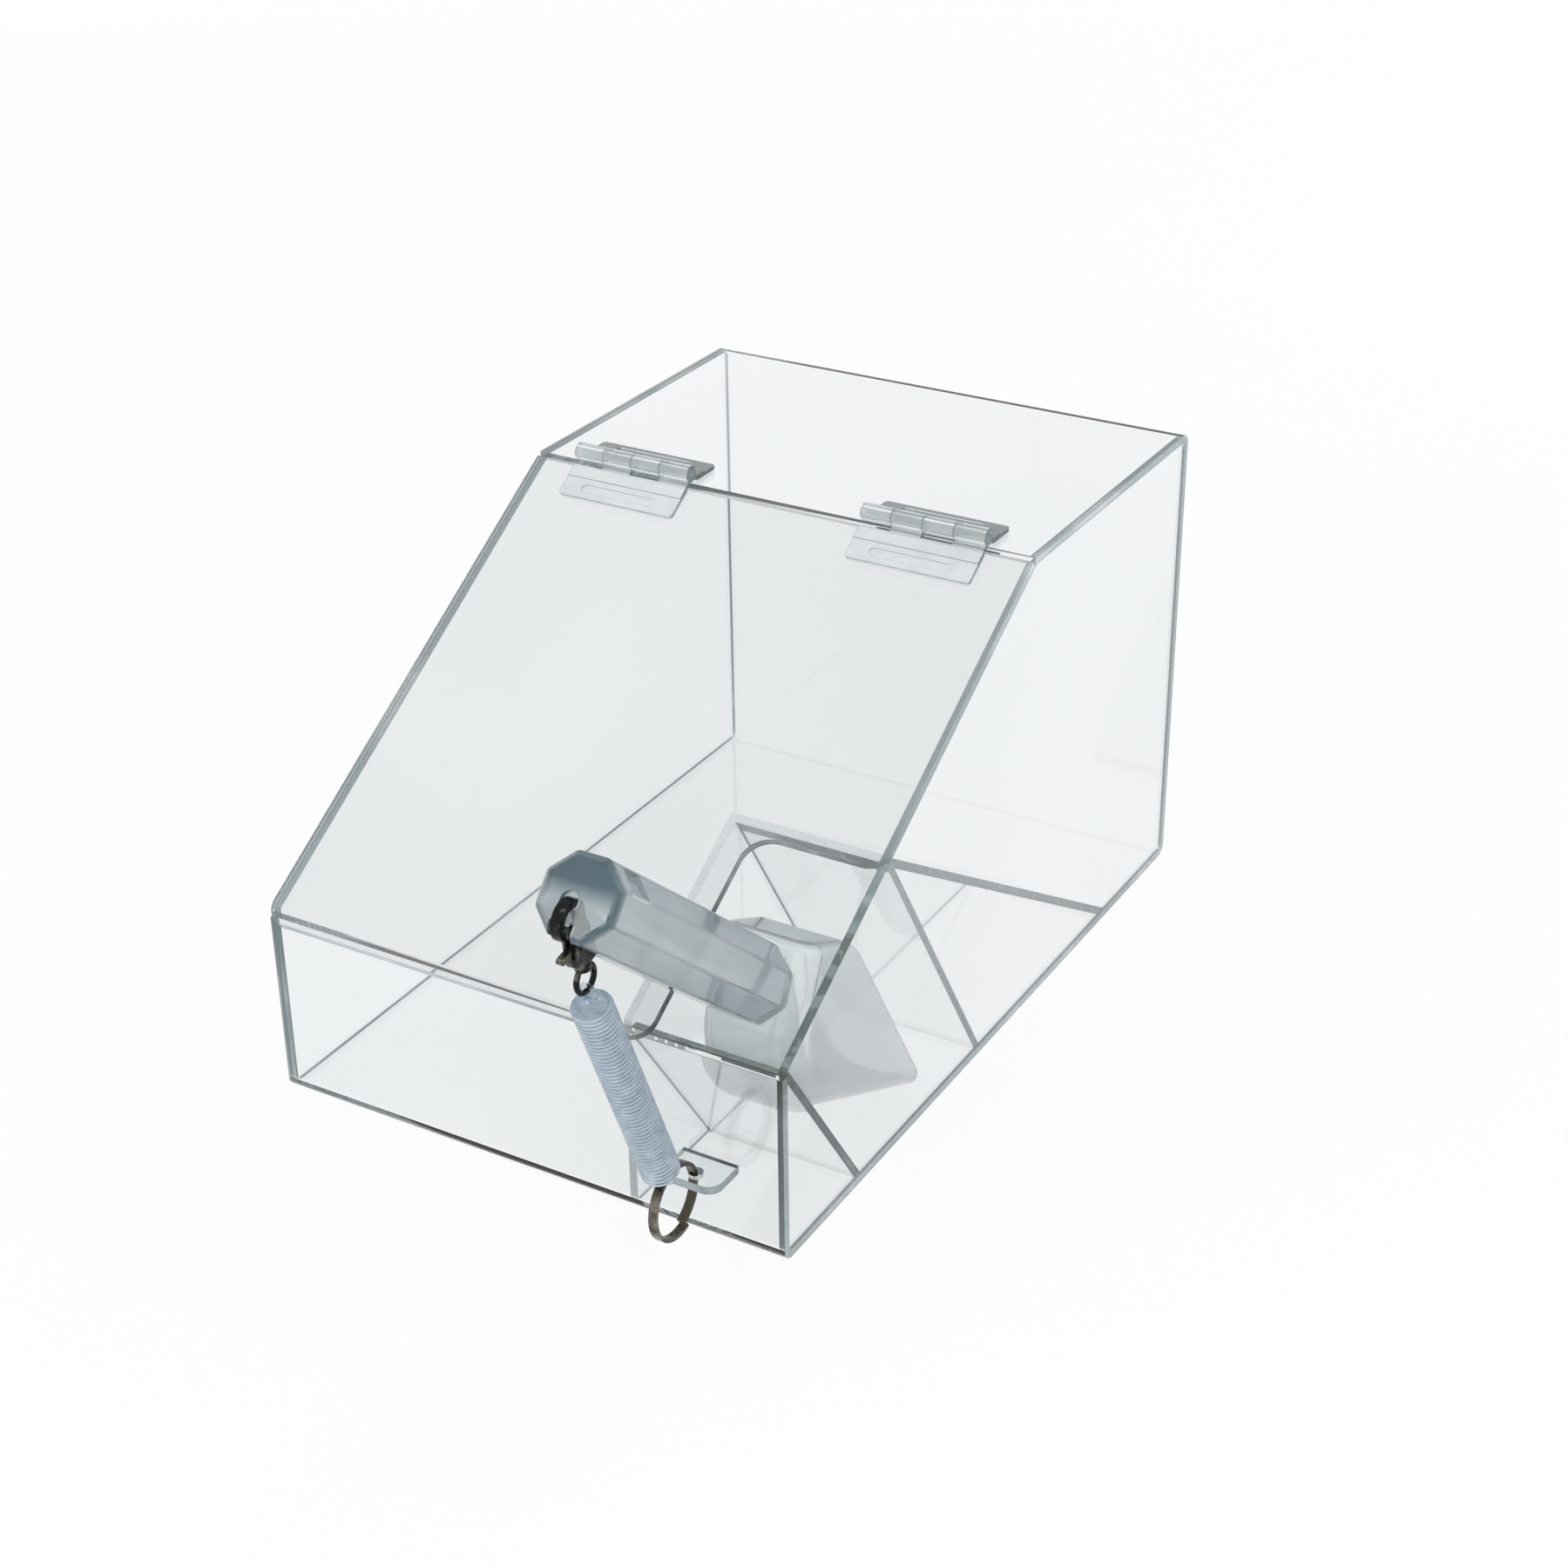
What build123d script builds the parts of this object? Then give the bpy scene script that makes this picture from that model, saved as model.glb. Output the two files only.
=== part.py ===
from build123d import *
import math
import os

# Candy bin with scoop lid, in millimetres.
# X runs across the bin, Y from its front wall to its back wall, Z up.
# The origin is the centre of the bin's flat underside.

# --- bin body: one bent acrylic sheet and two side panels ---------------------
bin_width = 203.0
bin_depth = 305.0
bin_height = 181.0
front_height = 70.8  # front wall, at its outer face
top_length = 132.2  # flat top panel, back wall to hinge line
sheet = 3.0
bend_inside = 1.5

# --- lid ----------------------------------------------------------------------
lid_overhang = 3.8  # past the front wall, measured level
lid_seat = 0.2  # running gap between the lid and the edges it lies on
lid_hinge_gap = 2.0  # lid's upper edge to the hinge line
lid_corner = 8.0
notch_width = 48.6
notch_length = 80.0  # along the slope, from the lid's lower edge
notch_inner_radius = 10.0

# --- scoop pocket -------------------------------------------------------------
pocket_width = 54.0  # clear width between divider and right side panel
pocket_rim_lap = 3.2  # how far the lid laps over the pocket's back panel
ramp_foot = 53.6  # inner face at the underside, from the front wall's outer face
ramp_angle = 55.9  # from level
roof_foot = 248.0  # from the front wall's outer face

# --- acrylic hinges -----------------------------------------------------------
hinge_width = 48.6
hinge_inset = 17.6  # hinge to the bin's side
hinge_reach = 16.7  # leaf's far edge from the hinge line
leaf_thickness = 2.0
leaf_tip_thickness = 1.4  # thinner outer field of a leaf
leaf_step = 8.5  # hinge line to the step between the two
leaf_corner = 1.5
knuckle_radius = 3.2
knuckle_lift = 0.4  # barrel clear of the panels
knuckle_count = 4
knuckle_gap = 0.3
pin_radius = 1.25
pin_fit = 0.05
slot_length = 32.0
slot_width = 3.6
slot_depth = 0.4

# --- scoop --------------------------------------------------------------------
scoop_inset = 25.0  # scoop's centre plane to the bin's right side
bowl_length = 107.0  # bottom, lip to the square corner of the heel
bowl_height = 57.0  # bottom to the top of the hood
hood_length = 26.0  # back wall to the mouth's upper edge
bowl_heel_radius = 30.0
bowl_width = 36.5
bowl_side_radius = 9.0
hood_radius = 4.0  # round the top of the hood
lip_corner = 9.0
lip_rim = 2.6  # rim above the bottom, at the lip
scoop_wall = 1.8
bowl_slope = 25.5  # bottom below level, as it stands in the pocket
scoop_seat = 0.3  # gap to the floor and to the ramp
handle_length = 123.0
handle_tilt = 15.0  # handle against the bowl's bottom
handle_height = 41.0  # handle's axis up the back wall
handle_sides = 8
handle_corner = 14.0  # centre to the corners of its octagon
handle_edge_round = 2.5
handle_end_bevel = 1.6
window_from_end = 13.5
window_length = 10.5
window_width = 8.6
hang_hole = 6.0
hang_hole_below = 1.8  # hole's centre below the handle's axis
hang_bar = 3.2  # depth of the bar under the hole
hang_notch_width = 8.0
hang_notch_length = 24.0

# --- snap clasp ---------------------------------------------------------------
tether_offset = 2.0  # clasp and tether beside the scoop's centre plane
clasp_lean = 10.5  # clasp's axis off plumb
clasp_play = 0.1
hook_inner = 4.2
hook_wire = 2.4
hook_thickness = 3.4
hook_tip_angle = 30.0  # tip below the hook's centre
clasp_axis_offset = 2.4  # body's centre line behind the hook's centre
clasp_body_width = 8.6
clasp_body_top = 5.0  # below the hook's centre
clasp_body_bottom = 17.5
clasp_thickness = 4.6
clasp_corner = 1.6
lever_thickness = 2.2
lever_gap = 0.2
lever_slot_depth = 8.0
lever_hub = 2.3
lever_half_width = 1.1
pivot_forward = 0.6  # rivet before the body's centre line
pivot_drop = 10.2  # rivet below the hook's centre
gate_radius = 2.95  # gate's end from the hook's centre
thumb_reach = 8.8
rivet_radius = 0.9
rivet_fit = 0.05
rivet_head = 1.5
rivet_head_height = 0.5
spring_radius = 1.45
spring_wire = 0.4
spring_turns = 2.0
spring_pocket = 1.8
spring_pocket_depth = 1.1
swivel_stem = 1.0
swivel_head = 1.5
swivel_head_height = 1.6
swivel_head_drop = 15.4  # shoulder of the head's chamber
swivel_fit = 0.1
swivel_collar = 2.6
swivel_collar_height = 2.2
eye_radius = 4.5  # to the middle of its wire
eye_wire = 1.9
eye_sink = 0.6  # eye's wire into the collar

# --- tether, split ring and tab -----------------------------------------------
coil_diameter = 13.0
cord_wire = 1.5
wire_sides = 8  # facets of a round wire's section
loop_inner = 2.0
loop_play = 0.1
coil_gap = 0.45  # turning eye's loop to the coil
coil_sink = 0.2  # coil's end into its lower loop
tab_width = 20.6
tab_depth = 15.0
tab_height = 31.4  # tab's mid plane above the underside
tab_corner = 5.0
tab_hole = 5.0
tab_hole_out = 9.3  # hole's centre from the front wall
ring_radius = 12.5  # to the middle of the wire
ring_wire = 1.4
ring_pitch = 1.45
ring_turns = 2.0
ring_drop = 1.4  # ring's centre below the tab's mid plane
ring_play = 0.15

# --- what follows from them ---------------------------------------------------
half_width = bin_width / 2
front = -bin_depth / 2
back = bin_depth / 2
hinge_line = back - top_length
inner_front = front + sheet
side_inner = half_width - sheet
divider_right = side_inner - pocket_width
scoop_x = half_width - scoop_inset
tether_x = scoop_x - tether_offset

chord = math.hypot(hinge_line - front, bin_height - front_height)
chord_angle = math.atan2(bin_height - front_height, hinge_line - front)
slope = chord_angle - math.asin((sheet + lid_seat) / chord)
slope_sin = math.sin(slope)
slope_cos = math.cos(slope)
lid_length = (hinge_line - front + lid_overhang) / slope_cos
notch_top = lid_length - notch_length
barrel_height = knuckle_radius + knuckle_lift

# panel faces beside the hinge line: local Y runs away from it, local Z outwards
top_face = Plane(origin=(0, hinge_line, bin_height), x_dir=(1, 0, 0), z_dir=(0, 0, 1))
lid_face = Plane(
    origin=(0, hinge_line, bin_height),
    x_dir=(-1, 0, 0),
    z_dir=(0, -slope_sin, slope_cos),
)


def on_slope(down, depth):
    """Y and Z of a point down the slope from the hinge line and below the lid's outer face."""
    y = hinge_line - down * slope_cos + depth * slope_sin
    z = bin_height - down * slope_sin - depth * slope_cos
    return (y, z)


def edge_height(y):
    """Height at depth y of the panel edges that the lid lies on."""
    return bin_height - (hinge_line - y) * math.tan(slope) - (sheet + lid_seat) / slope_cos


def depth_at(down, height):
    """Depth below the lid's outer face at which the line across the lid reaches a height."""
    return (bin_height - down * slope_sin - height) / slope_cos


def panel(outline, x_from, thickness):
    """A flat panel from its outline in Y and Z, thickened towards +X from x_from."""
    with BuildPart() as flat:
        with BuildSketch(Plane.YZ.offset(x_from)):
            with BuildLine():
                Polyline(*outline, close=True)
            make_face()
        extrude(amount=thickness)
    return flat.part


def save(part, name):
    """Label a finished piece and write its STEP file."""
    part.label = name
    export_step(part, f"parts/{name}.step")


os.makedirs("parts", exist_ok=True)

# --- body wrap: front wall, floor, back wall and top from one sheet -----------
wrap_outline = [
    (front, front_height),
    (front, 0),
    (back, 0),
    (back, bin_height),
    (hinge_line, bin_height),
    (hinge_line, bin_height - sheet),
    (back - sheet, bin_height - sheet),
    (back - sheet, sheet),
    (inner_front, sheet),
    (inner_front, front_height),
]
bend_outside = bend_inside + sheet
with BuildPart() as body_wrap:
    with BuildSketch(Plane.YZ.offset(-half_width)):
        with BuildLine():
            Polyline(*wrap_outline, close=True)
        make_face()
    extrude(amount=bin_width)
    for bends, radius in (
        (wrap_outline[1:4], bend_outside),
        (wrap_outline[6:9], bend_inside),
    ):
        lines = [
            body_wrap.edges().filter_by(Axis.X).sort_by_distance((0, y, z))[0]
            for y, z in bends
        ]
        fillet(lines, radius)
save(body_wrap.part, "body_wrap")

# --- side panels, set between the bends ---------------------------------------
eave = hinge_line + ((sheet + lid_seat) / slope_cos - sheet) / math.tan(slope)
side_outline = [
    (inner_front, sheet),
    (back - sheet, sheet),
    (back - sheet, bin_height - sheet),
    (eave, bin_height - sheet),
    (inner_front, edge_height(inner_front)),
]
for name, x_from in (("side_panel_left", -half_width), ("side_panel_right", side_inner)):
    with BuildPart() as side_panel:
        add(panel(side_outline, x_from, sheet))
        lines = [
            side_panel.edges().filter_by(Axis.X).sort_by_distance((x_from, y, z))[0]
            for y, z in side_outline[:3]
        ]
        fillet(lines, bend_inside)
    save(side_panel.part, name)

# --- scoop pocket: divider, ramp, back panel and roof --------------------------
rim_front = notch_top - pocket_rim_lap  # pocket's back panel, measured down the slope
rim_back = rim_front - sheet
peak = on_slope(rim_back, sheet + lid_seat)
roof_end = front + roof_foot
roof_angle = math.atan2(peak[1] - sheet, roof_end - peak[0])
roof_root = on_slope(rim_back, sheet + lid_seat + sheet / math.cos(slope + roof_angle))
divider_outline = [
    (inner_front, sheet),
    (roof_end, sheet),
    peak,
    (inner_front, edge_height(inner_front)),
]
with BuildPart() as divider:
    add(panel(divider_outline, divider_right - sheet, sheet))
    foot = divider.edges().filter_by(Axis.X).sort_by_distance((divider_right, inner_front, sheet))
    fillet(foot[0], bend_inside)
save(divider.part, "divider")

ramp_rise = math.tan(math.radians(ramp_angle))
ramp_shift = sheet / math.sin(math.radians(ramp_angle))
ramp_base = front + ramp_foot
ramp_outline = [
    (ramp_base - sheet / ramp_rise, sheet),
    (ramp_base - front_height / ramp_rise, front_height),
    (inner_front, front_height),
    (inner_front, (ramp_base - ramp_shift - inner_front) * ramp_rise),
    (ramp_base - ramp_shift - sheet / ramp_rise, sheet),
]
save(panel(ramp_outline, divider_right, pocket_width), "pocket_front")

back_outline = [
    on_slope(rim_front, sheet + lid_seat),
    on_slope(rim_front, depth_at(rim_front, sheet)),
    on_slope(rim_back, depth_at(rim_back, sheet)),
    peak,
]
save(panel(back_outline, divider_right, pocket_width), "pocket_back")

roof_outline = [
    peak,
    (roof_end, sheet),
    (roof_end - sheet / math.sin(roof_angle), sheet),
    roof_root,
]
save(panel(roof_outline, divider_right, pocket_width), "pocket_roof")

# --- lid with its scoop notch --------------------------------------------------
lid_outline = [
    (half_width, lid_hinge_gap),
    (half_width, lid_length),
    (notch_width - half_width, lid_length),
    (notch_width - half_width, notch_top),
    (-half_width, notch_top),
    (-half_width, lid_hinge_gap),
]
with BuildPart() as lid:
    with BuildSketch(lid_face):
        with BuildLine():
            Polyline(*lid_outline, close=True)
        make_face()
    extrude(amount=-sheet)
    across = Axis((0, 0, 0), (0, -slope_sin, slope_cos))
    for corners, radius in (
        ([lid_outline[1], lid_outline[2], lid_outline[4]], lid_corner),
        ([lid_outline[3]], notch_inner_radius),
    ):
        lines = [
            lid.edges().filter_by(across).sort_by_distance(lid_face.from_local_coords((x, y, 0)))[0]
            for x, y in corners
        ]
        fillet(lines, radius)
save(lid.part, "lid")

# --- hinges: two alike leaves and a pin each -----------------------------------
hinge_centres = {
    "left": hinge_inset + hinge_width / 2 - half_width,
    "right": half_width - hinge_inset - hinge_width / 2,
}
column = hinge_width / knuckle_count
leaf_root = knuckle_radius + knuckle_gap


def hinge_leaf(face, centre_x, barrel, bore):
    """One moulded leaf on a panel face, with every other knuckle round the hinge axis."""
    side = Plane(origin=(centre_x, hinge_line, bin_height), x_dir=face.y_dir, z_dir=face.x_dir)
    flat = Plane(origin=(centre_x, hinge_line, bin_height), x_dir=face.x_dir, z_dir=face.z_dir)
    barrel_y, barrel_z = barrel
    knuckle_starts = [column * k - hinge_width / 2 for k in range(0, knuckle_count, 2)]
    with BuildPart() as leaf:
        with BuildSketch(side.offset(-hinge_width / 2)):
            with BuildLine():
                Polyline(
                    (leaf_root, 0),
                    (hinge_reach, 0),
                    (hinge_reach, leaf_tip_thickness),
                    (leaf_step, leaf_tip_thickness),
                    (leaf_step, leaf_thickness),
                    (leaf_root, leaf_thickness),
                    close=True,
                )
            make_face()
        extrude(amount=hinge_width)
        tips = leaf.edges().filter_by(Axis((0, 0, 0), face.z_dir))
        fillet(tips.sort_by(Axis((0, 0, 0), face.y_dir))[-2:], leaf_corner)
        for start in knuckle_starts:
            with BuildSketch(side.offset(start + knuckle_gap / 2)):
                with BuildLine():
                    Polyline(
                        (barrel_y, knuckle_lift),
                        (leaf_root, knuckle_lift),
                        (leaf_root, leaf_thickness),
                        (barrel_y, leaf_thickness),
                        close=True,
                    )
                make_face()
                with Locations((barrel_y, barrel_z)):
                    Circle(knuckle_radius)
            extrude(amount=column - knuckle_gap)
        with BuildSketch(side.offset(-hinge_width / 2)):
            with Locations((barrel_y, barrel_z)):
                Circle(bore)
        extrude(amount=hinge_width, mode=Mode.SUBTRACT)
        with BuildSketch(flat.offset(leaf_tip_thickness)):
            with Locations((0, (leaf_step + hinge_reach) / 2)):
                SlotOverall(slot_length, slot_width)
        extrude(amount=-slot_depth, mode=Mode.SUBTRACT)
    return leaf.part


lid_barrel = (-barrel_height * slope_sin, barrel_height * slope_cos)
for side_name, centre_x in hinge_centres.items():
    top_leaf = hinge_leaf(top_face, centre_x, (0, barrel_height), pin_radius + pin_fit)
    save(top_leaf, f"hinge_top_leaf_{side_name}")
    lid_leaf = hinge_leaf(lid_face, centre_x, lid_barrel, pin_radius)
    save(lid_leaf, f"hinge_lid_leaf_{side_name}")
    with BuildPart() as pin:
        with BuildSketch(Plane.YZ.offset(centre_x - hinge_width / 2)):
            with Locations((hinge_line, bin_height + barrel_height)):
                Circle(pin_radius)
        extrude(amount=hinge_width)
    save(pin.part, f"hinge_pin_{side_name}")

# --- tether tab on the front wall -----------------------------------------------
with BuildPart() as tether_tab:
    with BuildSketch(Plane.XY.offset(tab_height - sheet / 2)):
        with Locations((tether_x, front - tab_depth / 2)):
            Rectangle(tab_width, tab_depth)
        with Locations((tether_x, front - tab_hole_out)):
            Circle(tab_hole / 2, mode=Mode.SUBTRACT)
    extrude(amount=sheet)
    fillet(tether_tab.edges().filter_by(Axis.Z).group_by(Axis.Y)[0], tab_corner)
save(tether_tab.part, "tether_tab")

# --- scoop, standing on its lip with its heel against the ramp -------------------
tilt = math.radians(bowl_slope)
heel_round = bowl_length - bowl_heel_radius
lip_height = sheet + scoop_seat
round_back = bowl_heel_radius * math.sin(tilt) - heel_round * math.cos(tilt)
round_up = bowl_heel_radius * math.cos(tilt) + heel_round * math.sin(tilt)
ramp_rad = math.radians(ramp_angle)
ramp_clear = bowl_heel_radius + scoop_seat - (lip_height + round_up) * math.cos(ramp_rad)
lip_y = ramp_base + ramp_clear / math.sin(ramp_rad) - round_back

# local X from the lip along the bottom; local Y up off the bottom, or across in plan
lip_point = (scoop_x, lip_y, lip_height)
along_bottom = (0, -math.cos(tilt), math.sin(tilt))
scoop_side = Plane(origin=lip_point, x_dir=along_bottom, z_dir=(-1, 0, 0))
scoop_plan = Plane(origin=lip_point, x_dir=along_bottom, z_dir=scoop_side.y_dir)
handle_foot = Vector(bowl_length, handle_height)
handle_way = Vector(math.cos(math.radians(handle_tilt)), math.sin(math.radians(handle_tilt)))
beyond = 2 * bowl_length  # well past every side of the bowl
handle_start = Plane(
    origin=scoop_side.from_local_coords(handle_foot),
    x_dir=(1, 0, 0),
    z_dir=scoop_side.from_local_coords(handle_way) - scoop_side.origin,
)


def bowl_block(inset):
    """The bowl's rounded block before its mouth is cut, drawn in by inset on every wall."""
    back, top = bowl_length - inset, bowl_height - inset
    half = bowl_width / 2 - inset
    with BuildPart() as block:
        with BuildSketch(scoop_side):
            with BuildLine():
                Polyline(
                    (-bowl_length, inset),
                    (back, inset),
                    (back, top),
                    (-bowl_length, top),
                    close=True,
                )
            make_face()
        extrude(amount=half, both=True)
        heel = scoop_side.from_local_coords((back, inset, 0))
        fillet(block.edges().filter_by(Axis.X).sort_by_distance(heel)[0], bowl_heel_radius - inset)
        sides = []
        for across in (-half, half):
            for x, y in ((0, inset), (heel_round, inset), (back, handle_height)):
                near = scoop_side.from_local_coords((x, y, across))
                sides += [block.edges().sort_by_distance(near)[0]]
        fillet(sides, bowl_side_radius - inset)
        hood_top = block.faces().sort_by_distance(scoop_side.from_local_coords((0, top, 0)))[0]
        mouth_side = scoop_side.from_local_coords((-bowl_length, top, 0))
        fillet(hood_top.edges().sort_by_distance(mouth_side)[1:], hood_radius - inset)
    return block.part


with BuildPart() as scoop:
    add(bowl_block(0))
    with BuildSketch(scoop_side):
        with BuildLine():
            Polyline(
                (-beyond, lip_rim),
                (0, lip_rim),
                (bowl_length - hood_length, bowl_height),
                (bowl_length - hood_length, beyond),
                (-beyond, beyond),
                close=True,
            )
        make_face()
    extrude(amount=bowl_width, both=True, mode=Mode.SUBTRACT)
    with BuildSketch(handle_start.offset(-bowl_heel_radius)):
        RegularPolygon(handle_corner, handle_sides, rotation=180 / handle_sides)
        fillet(vertices(), handle_edge_round)
    extrude(amount=bowl_heel_radius + handle_length)
    handle_end = handle_start.offset(handle_length)
    chamfer(scoop.faces().sort_by_distance(handle_end.origin)[0].edges(), handle_end_bevel)
    add(bowl_block(scoop_wall), mode=Mode.SUBTRACT)
    with BuildSketch(scoop_plan):
        with BuildLine():
            Polyline(
                (0, -bowl_width / 2),
                (beyond * 2, -bowl_width / 2),
                (beyond * 2, bowl_width / 2),
                (0, bowl_width / 2),
                close=True,
            )
        make_face()
        fillet(vertices().sort_by(Axis.X)[:2], lip_corner)
    extrude(amount=beyond, both=True, mode=Mode.INTERSECT)
    with BuildSketch(handle_start.offset(scoop_wall)):
        hollow = handle_corner - scoop_wall / math.cos(math.pi / handle_sides)
        RegularPolygon(hollow, handle_sides, rotation=180 / handle_sides)
    extrude(amount=handle_length - 2 * scoop_wall, mode=Mode.SUBTRACT)
    with BuildSketch(handle_end):
        with Locations((-tether_offset, -hang_hole_below)):
            Circle(hang_hole / 2)
    extrude(amount=-2 * scoop_wall, mode=Mode.SUBTRACT)
    with BuildSketch(handle_end):
        with Locations((-tether_offset, -hang_hole_below - hang_hole / 2 - hang_bar)):
            Rectangle(hang_notch_width, handle_corner, align=(Align.CENTER, Align.MAX))
    extrude(amount=-hang_notch_length, mode=Mode.SUBTRACT)
    facet = (handle_start.x_dir + handle_start.y_dir).normalized()
    window_centre = handle_end.origin - handle_start.z_dir * window_from_end
    with BuildSketch(Plane(origin=window_centre, x_dir=handle_start.z_dir, z_dir=facet)):
        Rectangle(window_length, window_width)
    extrude(amount=handle_corner, mode=Mode.SUBTRACT)
save(scoop.part, "scoop")

# --- snap clasp, hung in the hole of the handle's end ----------------------------
lean = math.radians(clasp_lean)
clasp_up = Vector(0, -math.sin(lean), math.cos(lean))
seat_drop = math.sqrt(hang_hole**2 - hook_thickness**2) / 2
hang_seat = handle_start.from_local_coords(
    (-tether_offset, -hang_hole_below - seat_drop, handle_length)
)
clasp_side = Plane(
    origin=hang_seat - clasp_up * (hook_inner - clasp_play),
    x_dir=(0, -math.cos(lean), -math.sin(lean)),
    z_dir=(-1, 0, 0),
)
clasp_across = Plane(
    origin=clasp_side.from_local_coords((-clasp_axis_offset, 0, 0)),
    x_dir=(1, 0, 0),
    z_dir=clasp_up,
)
hook_outer = hook_inner + hook_wire
pivot = (pivot_forward - clasp_axis_offset, -pivot_drop)
tip_way = math.radians(-hook_tip_angle)
gate_end = (gate_radius * math.cos(tip_way), gate_radius * math.sin(tip_way))
reach = 2 * hook_outer
with BuildPart() as clasp_body:
    with BuildSketch(clasp_side):
        Circle(hook_outer)
        Circle(hook_inner, mode=Mode.SUBTRACT)
        with BuildLine():
            Polyline(
                (0, 0),
                (-reach, 0),
                (-reach, -reach),
                (reach, -reach),
                (reach * math.cos(tip_way), reach * math.sin(tip_way)),
                close=True,
            )
        make_face(mode=Mode.SUBTRACT)
        with Locations((-hook_outer, 0)):
            Rectangle(hook_wire, clasp_body_top + hook_wire, align=(Align.MIN, Align.MAX))
    extrude(amount=hook_thickness / 2, both=True)
    with BuildSketch(clasp_side):
        with Locations((-clasp_axis_offset, -clasp_body_top)):
            Rectangle(
                clasp_body_width,
                clasp_body_bottom - clasp_body_top,
                align=(Align.CENTER, Align.MAX),
            )
        fillet(vertices().sort_by(Axis.Y)[:2], clasp_corner)
    extrude(amount=clasp_thickness / 2, both=True)
    with BuildSketch(clasp_side):
        with Locations((pivot[0] - lever_hub - lever_gap, -clasp_body_top)):
            Rectangle(
                clasp_body_width + reach,
                lever_slot_depth,
                align=(Align.MIN, Align.MAX),
            )
    extrude(amount=lever_thickness / 2 + lever_gap, both=True, mode=Mode.SUBTRACT)
    with BuildSketch(clasp_side):
        with Locations(pivot):
            Circle(rivet_radius)
    extrude(amount=clasp_thickness, both=True, mode=Mode.SUBTRACT)
    with BuildSketch(clasp_across.offset(-swivel_head_drop)):
        Circle(swivel_head + swivel_fit)
    extrude(amount=swivel_head_height + 2 * swivel_fit, mode=Mode.SUBTRACT)
    with BuildSketch(clasp_across.offset(-swivel_head_drop)):
        Circle(swivel_stem + swivel_fit)
    extrude(amount=-clasp_body_bottom, mode=Mode.SUBTRACT)
save(clasp_body.part, "clasp_body")

arm = Vector(*gate_end) - Vector(*pivot)
with BuildPart() as clasp_lever:
    with BuildSketch(clasp_side):
        with Locations(pivot):
            Circle(lever_hub)
        with Locations((Vector(*gate_end) + Vector(*pivot)) * 0.5):
            SlotCenterToCenter(
                arm.length,
                2 * lever_half_width,
                rotation=math.degrees(math.atan2(arm.Y, arm.X)),
            )
        with Locations((pivot[0] + thumb_reach / 2, pivot[1])):
            SlotCenterToCenter(thumb_reach - lever_half_width, 2 * lever_half_width)
        with Locations(pivot):
            Circle(rivet_radius + rivet_fit, mode=Mode.SUBTRACT)
    extrude(amount=lever_thickness / 2, both=True)
    with BuildSketch(clasp_side.offset(lever_thickness / 2)):
        with Locations(pivot):
            Circle(spring_pocket)
    extrude(amount=-spring_pocket_depth, mode=Mode.SUBTRACT)
save(clasp_lever.part, "clasp_lever")

with BuildPart() as clasp_rivet:
    with BuildSketch(clasp_side):
        with Locations(pivot):
            Circle(rivet_radius)
    extrude(amount=clasp_thickness / 2, both=True)
    for face_plane, outwards in (
        (clasp_side.offset(clasp_thickness / 2), rivet_head_height),
        (clasp_side.offset(-clasp_thickness / 2), -rivet_head_height),
    ):
        with BuildSketch(face_plane):
            with Locations(pivot):
                Circle(rivet_head)
        extrude(amount=outwards)
save(clasp_rivet.part, "clasp_rivet")


def coiled(path, wire):
    """Square wire wound along a helix."""
    outwards = path.location_at(0, frame_method=FrameMethod.FRENET).x_axis.direction
    with BuildPart() as winding:
        with BuildLine():
            add(path)
        with BuildSketch(Plane(origin=path @ 0, x_dir=outwards, z_dir=path % 0)):
            Rectangle(wire, wire)
        sweep(is_frenet=True)
    return winding.part


def wire_ring(face, radius, wire):
    """A closed ring of round wire lying in a face, round that face's origin."""
    with BuildPart() as ring:
        with BuildSketch(Plane(origin=face.origin, x_dir=face.x_dir, z_dir=-face.y_dir)):
            with Locations((radius, 0)):
                RegularPolygon(wire / 2, wire_sides)
        revolve(axis=Axis(face.origin, face.z_dir))
    return ring.part


spring_pitch = spring_wire * 1.05
spring_height = spring_pitch * spring_turns
pocket_floor = lever_thickness / 2 - spring_pocket_depth
spring_start = Plane(
    origin=clasp_side.from_local_coords((*pivot, pocket_floor + spring_wire / 2 + rivet_fit)),
    x_dir=clasp_side.x_dir,
    z_dir=clasp_side.z_dir,
)
spring_path = spring_start.location * Helix(spring_pitch, spring_height, spring_radius)
save(coiled(spring_path, spring_wire), "clasp_spring")

eye_centre = -clasp_body_bottom - swivel_fit - swivel_collar_height + eye_sink - eye_radius
with BuildPart() as clasp_swivel:
    with BuildSketch(clasp_across.offset(swivel_fit - swivel_head_drop)):
        Circle(swivel_head)
    extrude(amount=swivel_head_height)
    with BuildSketch(clasp_across.offset(swivel_fit - swivel_head_drop)):
        Circle(swivel_stem)
    extrude(amount=swivel_head_drop - clasp_body_bottom - 2 * swivel_fit)
    with BuildSketch(clasp_across.offset(-clasp_body_bottom - swivel_fit)):
        Circle(swivel_collar)
    extrude(amount=-swivel_collar_height)
    eye_origin = clasp_across.offset(eye_centre).origin
    eye_face = Plane(origin=eye_origin, x_dir=clasp_side.x_dir, z_dir=clasp_side.z_dir)
    add(wire_ring(eye_face, eye_radius, eye_wire))
save(clasp_swivel.part, "clasp_swivel")

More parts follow.
